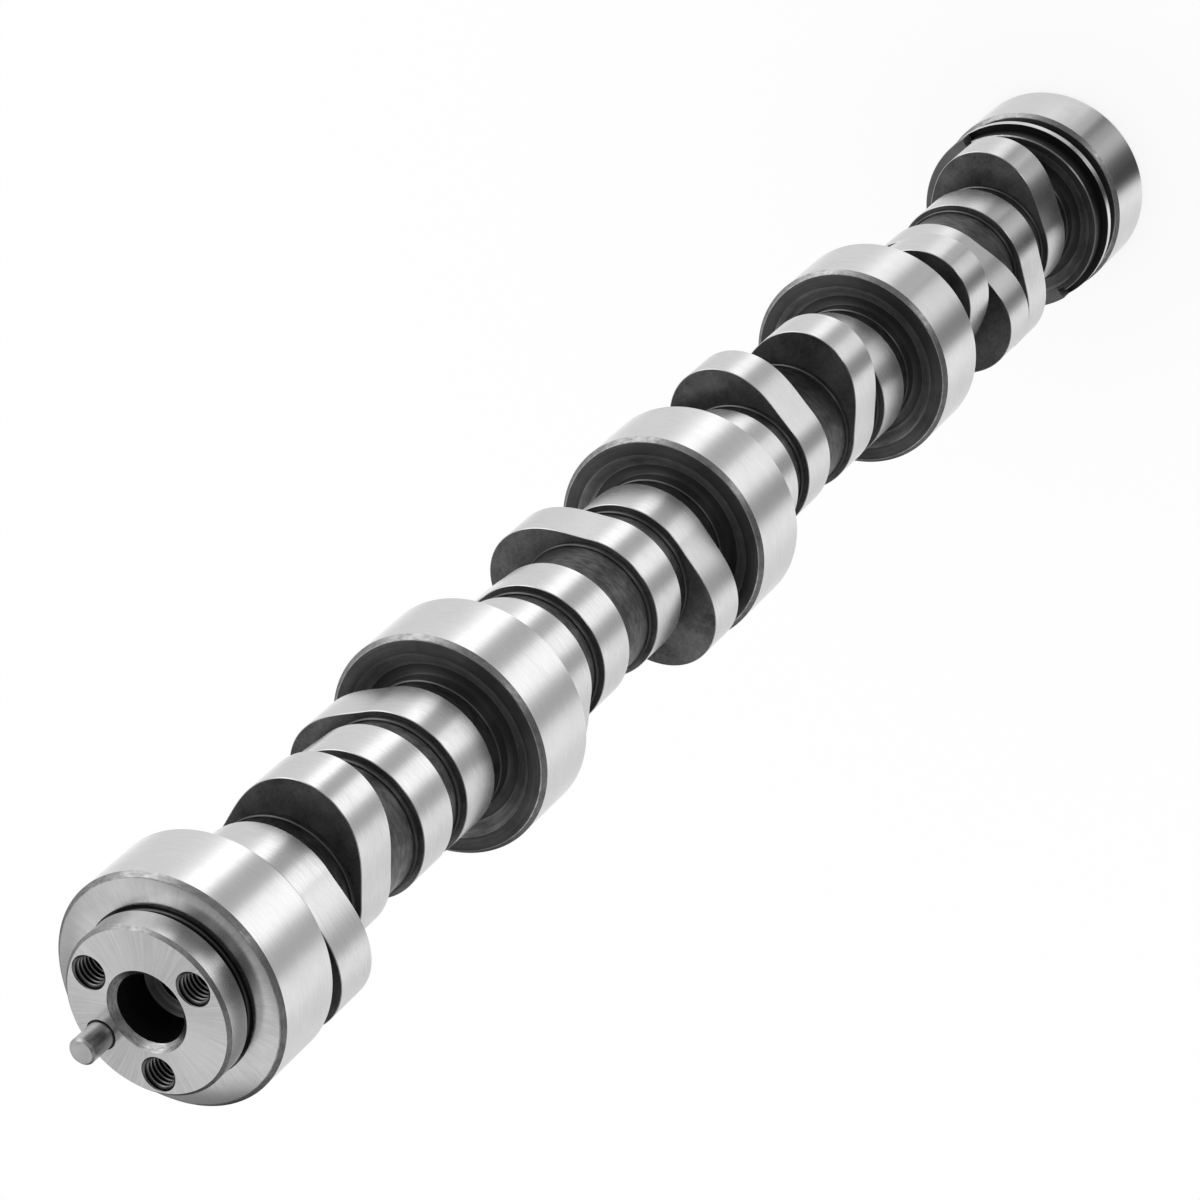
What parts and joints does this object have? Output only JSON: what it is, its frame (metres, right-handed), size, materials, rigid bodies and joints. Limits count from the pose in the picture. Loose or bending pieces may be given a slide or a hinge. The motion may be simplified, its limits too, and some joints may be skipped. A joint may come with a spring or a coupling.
{
  "type": "camshaft",
  "caption": "Ground steel camshaft for a vee engine: bearing journals, lobes for roller lifters, a half-moon timing ring and a drilled nose with a dowel pin.",
  "frame": {"origin": "middle of the rear face, on the shaft's axis", "axes": "+Z along the shaft from the rear face to the nose, +X from the axis to the dowel pin, +Y by the right-hand rule"},
  "size_m": [0.055, 0.055, 0.4936],
  "materials": {
    "shaft_steel": "ground journals and lobes, black between them",
    "pin_steel": "satin ground"
  },
  "bodies": {
    "root": {"camshaft": "shaft_steel", "dowel_pin": "pin_steel"}
  },
  "joints": []
}
